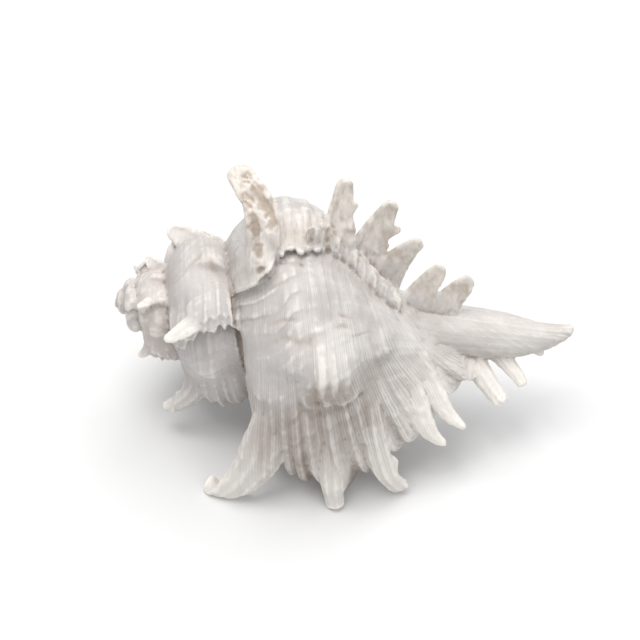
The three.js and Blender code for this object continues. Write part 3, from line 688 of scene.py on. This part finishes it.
def reliefHeight(points, normals):
    own, along, radius, angle, turn, section = shellPlace(points)
    size = growth["out"] ** whorlsAt(turn)
    spine = spineMask(own)
    within = hollowMask(along, radius, angle)
    smooth = np.maximum(spine * 0.85, within)
    spot = spread(rowOf(section, turn) + 9 * smoothStep(section, 59, 70), turn * 0.012, 0)
    cords = detail["cord"] * (0.75 * cloud(spot, 1.25, 31) + 0.8 * (0.4 - np.abs(cloud(spot, 2.6, 32))))
    cords = cords * (0.6 + 0.9 * smoothStep(turn, 10, 60))
    aged = turn - lean(section)
    lines = cloud(spread(aged, section * 0.05, 0), 2.3, 5)
    lines = lines + 0.7 * cloud(spread(aged, section * 0.03, 0), 5.5, 6)
    swell = cloud(spread(aged, section * 0.12, 0), 12, 7)
    whorl = cords + detail["growthLine"] * lines
    whorl = whorl + detail["swell"] * np.sign(swell) * np.abs(swell) ** 1.4 * 0.6
    stepped = (turn - lean(section) * 0.9) / 9.5
    stepped = stepped + 0.5 * cloud(spread(section * 0.16, aged * 0.03, 0), 1.6, 12)
    part = stepped - np.floor(stepped)
    ledge = smoothStep(part, 0, 0.75) * (1 - smoothStep(part, 0.8, 1)) - 0.4
    where = smoothStep(turn, -32, -14) * (1 - smoothStep(turn, 2, 16)) * (1 - smoothStep(section, 84, 100))
    patchy = 0.6 + 0.6 * cloud(spread(section * 0.1, aged * 0.06, 3), 1, 13)
    whorl = whorl + detail["step"] * ledge * where * patchy
    rough = (cloud(own, 2.2, 8) * 0.6 + cloud(own, 6, 9)) * detail["grain"] * np.clip(size, 0.4, 1)
    lumps = cloud(own, 3.4, 14) + 0.5 * cloud(own, 1.7, 15)
    rough = rough + detail["lumps"] * smoothStep(-turn, 470, 600) * lumps
    worn = np.zeros(len(own))
    for middle, wide, place in toes:
        a, b = (along - middle) / wide, (angle - place) / toeLength
        rim = np.hypot(a, b)
        mine = (along > knobSide) * (angle > 18) * (angle < 50)
        worn += np.exp(-(a**4 + b**4) * 1.2) * mine * 0.35
        worn -= 0.7 * np.exp(-((rim - 1.3) / 0.28) ** 2) * mine * smoothStep(b, 0.0, 0.6)
        worn += 0.7 * np.exp(-((rim - 2.0) / 0.4) ** 2) * mine * smoothStep(b, 0.7, 1.3)
    pockets = pocketMask(own, normals @ np.array(lyingTurn()), angle) * detail["pocket"]
    face, groove = kneeMask(along, angle)
    worn = worn + face * (groove - 0.5) * detail["kneeGroove"]
    seam = detail["seam"] * np.exp(-((section - 59.6) / 0.9) ** 2)
    seam = seam * smoothStep(turn, -30, -10) * (1 - smoothStep(turn, 50, 70))
    return (whorl * size * (1 - smooth) + rough * (1 - 0.75 * within) - worn - pockets - seam
            - detail["scar"] * scarMask(along, angle)) / 1000


def neighbours(mesh):
    flat = np.empty(len(mesh.edges) * 2, np.int32)
    mesh.edges.foreach_get("vertices", flat)
    return flat.reshape(-1, 2)


def smoothed(values, edges, rounds):
    count = len(values)
    degree = np.bincount(edges.ravel(), minlength=count).astype(float)
    for _ in range(rounds):
        total = [np.bincount(edges[:, 0], values[edges[:, 1], k], count)
                 + np.bincount(edges[:, 1], values[edges[:, 0], k], count) for k in range(values.shape[1])]
        total = np.stack(total, axis=-1)
        values = 0.5 * values + 0.5 * total / degree[:, None]
    return values


def addNumbers(mesh, name, values):
    layer = mesh.attributes.new(name, "FLOAT", "POINT")
    layer.data.foreach_set("value", values.astype(np.float32))


def buildShell():
    parts = whorlPieces() + frills() + [canalBar()]
    number = 0
    for group in spines.values():
        for spine in group:
            parts.append(spineSkin(spine, number))
            number += 1
    parts = [(layDown(points), quads, caps) for points, quads, caps in parts]
    piece = addMesh("murexShell", parts)
    print("skins laid out:", len(piece.data.vertices), "vertices")
    remesh = piece.modifiers.new("join", "REMESH")
    remesh.mode, remesh.voxel_size, remesh.adaptivity = "VOXEL", detail["voxel"], 0
    applyModifiers(piece)
    print("joined:", len(piece.data.polygons), "faces")
    cutters = []
    for name, skin in (("hollow", hollowSkin()), ("slit", slitSkin())):
        cutter = addMesh(name, [(layDown(skin[0]), skin[1], skin[2])])
        cut = piece.modifiers.new(name, "BOOLEAN")
        cut.operation, cut.solver, cut.object = "DIFFERENCE", "MANIFOLD", cutter
        cutters.append(cutter)
    applyModifiers(piece)
    for cutter in cutters:
        bpy.data.objects.remove(cutter)
    print("hollowed:", len(piece.data.polygons), "faces")
    edges = neighbours(piece.data)
    points = smoothed(readPoints(piece.data), edges, 1)
    writePoints(piece.data, points)
    normals = readNormals(piece.data)
    points = points + normals * reliefHeight(points, normals)[:, None]
    points[:, 2] = np.maximum(points[:, 2], detail["gap"])
    writePoints(piece.data, points)
    print("relief raised")
    fewer = piece.modifiers.new("fewer", "DECIMATE")
    triangles = sum(len(face.vertices) - 2 for face in piece.data.polygons)
    fewer.ratio = min(1.0, detail["triangles"] / triangles)
    applyModifiers(piece)
    print("reduced:", len(piece.data.polygons), "faces")
    return piece


def markSurface(piece):
    mesh = piece.data
    edges = neighbours(mesh)
    points, normals = readPoints(mesh), readNormals(mesh)
    # recess: how far each point sits below its smoothed surroundings; the finish paints shade into the
    # recesses from it
    recess = np.zeros(len(points))
    current = points
    for rounds, gain in ((3, 4500), (9, 1500), (24, 700)):
        current = smoothed(current, edges, rounds)
        recess += np.sum((current - points) * normals, axis=1) * gain
    own, along, radius, angle, turn, section = shellPlace(points)
    addNumbers(mesh, "recess", np.clip(recess * 0.5, -1.5, 1.5))
    heel = np.exp(-((along - 88) / 9.5) ** 4 - ((angle - 19) / 7.5) ** 4) * (along > knobSide)
    bare = np.maximum(spineMask(own, ("top", "lip", "under")), 0.55 * spineMask(own, ("spire",)))
    addNumbers(mesh, "spine", np.maximum(bare, heel * 0.4))
    addNumbers(mesh, "inside", hollowMask(along, radius, angle))
    facing = normals @ np.array(lyingTurn())
    # toe: the worn hollows at the foot of the big knob, brown-mottled and also painted darker as the shade
    # that fills them
    toe = np.zeros(len(own))
    for middle, wide, place in toes:
        reach = ((along - middle) / wide) ** 4 + ((angle - place) / toeLength) ** 4
        toe = np.maximum(toe, np.exp(-reach * 1.2) * (along > knobSide))
    behind = edgeTurn(varices[1], section) - turn
    # painted shade in the concave trough just behind the top lip's rim, in noisy patches
    paintedTroughShade = smoothStep(behind, -1, 1) * (1 - smoothStep(behind, 5, 10)) * smoothStep(section, 77, 84)
    paintedTroughShade = paintedTroughShade * (1 - smoothStep(section, 108, 114))
    paintedTroughShade = paintedTroughShade * smoothStep(cloud(own, 5, 63), -0.6, 0.8) * (along > 50)
    # pocket: brown pockets, scars and the knob's face, plus painted shade in the toes and in the trough
    # behind the top lip's rim
    pocket = np.maximum(pocketMask(own, facing, angle), toe * 0.6)
    pocket = np.maximum(pocket, scarMask(along, angle) * 0.5)
    face, groove = kneeMask(along, angle)
    pocket = np.maximum(pocket, face * (0.15 + 0.4 * groove))
    addNumbers(mesh, "pocket", np.maximum(pocket, paintedTroughShade * 0.35))
    leaf = smoothStep(behind, -1, 1) * (1 - smoothStep(behind, 10, 22)) * (along > 45) * (section < 150)
    addNumbers(mesh, "crest", np.maximum(spineMask(own, ["top"]), leaf * 0.55))
    addNumbers(mesh, "tail", smoothStep(along, 108, 150))
    addNumbers(mesh, "row", rowOf(section, turn))
    addNumbers(mesh, "age", turn - lean(section))
    for face in mesh.polygons:
        face.use_smooth = True


shellPiece = buildShell()
markSurface(shellPiece)
print("surface marked")


# a socket that takes part in sums
class Field:
    def __init__(self, nodes, socket):
        self.nodes, self.socket = nodes, socket

    def work(self, operation, first, second=None):
        values = {0: first}
        if second is not None:
            values[1] = second
        return self.nodes.add("ShaderNodeMath", {"operation": operation}, values)

    def __add__(self, other):
        return self.work("ADD", self, other)

    def __radd__(self, other):
        return self.work("ADD", other, self)

    def __sub__(self, other):
        return self.work("SUBTRACT", self, other)

    def __rsub__(self, other):
        return self.work("SUBTRACT", other, self)

    def __mul__(self, other):
        return self.work("MULTIPLY", self, other)

    def __rmul__(self, other):
        return self.work("MULTIPLY", other, self)

    def __neg__(self):
        return self.work("MULTIPLY", self, -1.0)

    def clamp(self, low=0.0, high=1.0):
        return self.work("MINIMUM", self.work("MAXIMUM", self, low), high)

    def sine(self):
        return self.work("SINE", self)

    def ease(self, low, high):
        return self.nodes.add("ShaderNodeMapRange", {"interpolation_type": "SMOOTHSTEP"},
                              {"Value": self, "From Min": low, "From Max": high})


class Nodes:
    def __init__(self, material):
        material.use_nodes = True
        self.tree = material.node_tree
        self.tree.nodes.clear()

    def add(self, kind, settings=None, values=None, output=0):
        node = self.tree.nodes.new(kind)
        for key, value in (settings or {}).items():
            setattr(node, key, value)
        for key, value in (values or {}).items():
            socket = node.inputs[key]
            if isinstance(value, Field):
                self.tree.links.new(value.socket, socket)
            else:
                socket.default_value = value
        return Field(self, node.outputs[output]) if node.outputs else None

    def noise(self, vector, scale, layers, roughness=0.5):
        values = {"Vector": vector, "Scale": scale, "Detail": layers, "Roughness": roughness}
        return self.add("ShaderNodeTexNoise", {}, values)

    def vector(self, x, y):
        return self.add("ShaderNodeCombineXYZ", {}, {"X": x, "Y": y})

    def blend(self, factor, first, second):
        return self.add("ShaderNodeMix", {"data_type": "RGBA"}, {0: factor, 6: first, 7: second}, output=2)


finish = {
    "chalk": (0.70, 0.675, 0.655, 1),
    "chalkDark": (0.50, 0.465, 0.45, 1),
    "ivory": (0.93, 0.885, 0.82, 1),
    "beige": (0.72, 0.665, 0.605, 1),
    "tan": (0.36, 0.28, 0.21, 1),
    # a dark warm brown used as painted shade, in the recesses and on the lower side of the body whorl
    "paintedShade": (0.27, 0.20, 0.145, 1),
    "porcelain": (0.84, 0.80, 0.76, 1),
    "blush": (0.66, 0.54, 0.48, 1),
}


def shellFinish():
    material = bpy.data.materials.new("bleachedShell")
    nodes = Nodes(material)
    recess, spine, inside, row, pocket, crest, tail, age = [
        nodes.add("ShaderNodeAttribute", {"attribute_name": name}, output=2)
        for name in ("recess", "spine", "inside", "row", "pocket", "crest", "tail", "age")]
    where = nodes.add("ShaderNodeTexCoord", output=3)
    patches = nodes.noise(where, 70.0, 4.0)
    mottle = nodes.noise(where, 420.0, 5.0, 0.6)
    grain = nodes.noise(where, 2200.0, 3.0)
    bands = nodes.noise(nodes.vector(age * 0.45, row * 0.02), 1.0, 3.0)
    threads = nodes.noise(nodes.vector(row * 1.1, age * 0.008), 1.0, 4.0, 0.65)
    fine = (row * 5.3 + threads * 9.0 + bands * 2.5).sine() * 0.5 + 0.5
    ribs = nodes.noise(nodes.vector(row * 0.34, age * 0.004), 1.0, 2.0).ease(0.42, 0.58)
    strong = age.ease(5.0, 45.0) * 0.6 + age.ease(-46.0, -34.0) * 0.25 + 0.15
    strong = strong * (1 - inside) * (1 - spine * 0.35)
    colour = nodes.blend(patches.ease(0.35, 0.7), finish["chalk"], finish["chalkDark"])
    colour = nodes.blend(fine.ease(0.45, 0.95) * strong * 0.5, colour, finish["tan"])
    worn = (bands.ease(0.42, 0.72) * 0.22 + threads.ease(0.48, 0.66) * 0.6) * (1 - inside)
    colour = nodes.blend(worn, colour, finish["chalkDark"])
    shoulder = age.ease(-34.0, -20.0) * (1 - row.ease(94.0, 112.0)) * 0.35
    colour = nodes.blend(shoulder, colour, finish["chalkDark"])
    colour = nodes.blend((1 - age.ease(-660.0, -300.0)) * 0.24, colour, finish["blush"])
    second = age.ease(-520.0, -440.0) * (1 - age.ease(-270.0, -200.0)) * 0.4
    colour = nodes.blend(second, colour, finish["chalkDark"])
    colour = nodes.blend(tail * 0.25, colour, finish["ivory"])
    colour = nodes.blend((spine * 0.55 + (-recess).ease(0.15, 0.9) * 0.5).clamp(), colour, finish["ivory"])
    colour = nodes.blend(crest * 0.85, colour, finish["beige"])
    stretched = nodes.add("ShaderNodeVectorMath", {"operation": "MULTIPLY"},
                          {0: where, 1: (560.0, 240.0, 240.0)})
    streaks = nodes.noise(stretched, 1.0, 3.0)
    colour = nodes.blend(crest * streaks.ease(0.44, 0.72) * 0.4, colour, finish["tan"])
    colour = nodes.blend(inside * 0.9, colour, finish["porcelain"])
    # painted shade: the recesses are darkened, broken up by mottling
    paintedRecessShade = (recess + (mottle - 0.5) * 0.6).ease(0.25, 1.1) * (1 - inside * 0.8)
    colour = nodes.blend(paintedRecessShade * (0.6 - crest * 0.25), colour, finish["paintedShade"])
    # painted shade on the lower side of the body whorl, which faces away from the light, heavier in streaks
    # along the ribs and in patches
    low = age.ease(22.0, 50.0) * (1 - spine) * (1 - inside)
    low = low * row.ease(60.0, 66.0) * (1 - row.ease(96.0, 110.0) * 0.8)
    colour = nodes.blend(low * (0.14 + ribs * 0.3 + patches.ease(0.35, 0.65) * 0.2), colour, finish["paintedShade"])
    # pocket is brown of its own on the spines, scars and knob face, and painted shade in the toes and the
    # trough behind the top lip's rim
    colour = nodes.blend((pocket * (0.4 + mottle * 0.9)).clamp() * 0.85, colour, finish["tan"])
    speck = mottle.ease(0.66, 0.72) * patches.ease(0.5, 0.62) * 0.35
    colour = nodes.blend(speck, colour, finish["blush"])
    height = threads * 0.5 + bands * 0.2 + mottle * 0.35 + grain * 0.18 - fine * strong * 0.5
    bump = nodes.add("ShaderNodeBump", {}, {"Strength": 0.55, "Distance": 0.0006,
                                            "Height": height * (1 - inside * 0.85)})
    rough = 0.62 + (grain - 0.5) * 0.2 - spine * 0.1 - inside * 0.3
    shader = nodes.add("ShaderNodeBsdfPrincipled", {},
                       {"Base Color": colour, "Roughness": rough, "Normal": bump, "IOR": 1.5})
    nodes.add("ShaderNodeOutputMaterial", {}, {"Surface": shader})
    return material


shellPiece.data.materials.clear()
shellPiece.data.materials.append(shellFinish())
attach(shellPiece, "root")
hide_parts("murex_shell")
print("finish on")


studio = {
    "lens": 135.0,
    "sensor": 36.0,
    "frameWidth": 0.2496,  # width of the view at the shell, in metres
    "aim": (81.5, -0.4, 0.0),  # in the shell's own frame, in mm
    "height": 45.0,  # degrees above the horizon
    "floor": (0.8, 0.8, 0.8, 1),
    "floorHalf": 3.0,
    "sky": (0.96, 0.98, 1.0, 1),
    "skyStrength": 0.46,
    "lightsAim": (0, 0, 0.04),
    # name, place and size in metres, watts, colour
    "lights": [("key", (-0.22, -0.1, 1.05), 0.6, 6.2, (1, 0.985, 0.965)),
               ("top", (0.2, 0.4, 1.05), 0.8, 5.6, (1, 1, 1)),
               ("fill", (0.45, -0.9, 0.7), 0.9, 2.4, (0.97, 0.98, 1))],
}


def addStudio():
    scene = bpy.context.scene
    half = studio["floorHalf"]
    mesh = bpy.data.meshes.new("floor")
    corners = [(-half, -half, 0), (half, -half, 0), (half, half, 0), (-half, half, 0)]
    mesh.from_pydata(corners, [], [(0, 1, 2, 3)])
    floor = bpy.data.objects.new("floor", mesh)
    scene.collection.objects.link(floor)
    material = bpy.data.materials.new("paleFloor")
    nodes = Nodes(material)
    shader = nodes.add("ShaderNodeBsdfPrincipled", {}, {"Base Color": studio["floor"], "Roughness": 0.9})
    nodes.add("ShaderNodeOutputMaterial", {}, {"Surface": shader})
    floor.data.materials.append(material)
    world = bpy.data.worlds.new("studio")
    scene.world = world
    world.use_nodes = True
    background = world.node_tree.nodes["Background"]
    background.inputs[0].default_value = studio["sky"]
    background.inputs[1].default_value = studio["skyStrength"]
    for name, place, size, power, colour in studio["lights"]:
        light = bpy.data.lights.new(name, "AREA")
        light.shape, light.size, light.energy, light.color = "SQUARE", size, power, colour
        lamp = bpy.data.objects.new(name, light)
        lamp.location = place
        towards = Vector(studio["lightsAim"]) - Vector(place)
        lamp.rotation_euler = towards.to_track_quat("-Z", "Y").to_euler()
        scene.collection.objects.link(lamp)
    camera = bpy.data.cameras.new("camera")
    camera.lens = studio["lens"]
    camera.sensor_width = studio["sensor"]
    camera.clip_start = 0.05
    holder = bpy.data.objects.new("camera", camera)
    scene.collection.objects.link(holder)
    target = Vector(layDown(np.array([studio["aim"]]))[0])
    tilt = math.radians(studio["height"])
    distance = studio["frameWidth"] / 2 / math.tan(math.atan(studio["sensor"] / 2 / studio["lens"]))
    holder.location = target + Vector((0, -math.cos(tilt), math.sin(tilt))) * distance
    holder.rotation_euler = (math.pi / 2 - tilt, 0, 0)
    scene.camera = holder
    scene.view_settings.view_transform = "Standard"
    scene.view_settings.look = "None"


addStudio()
print("studio ready")
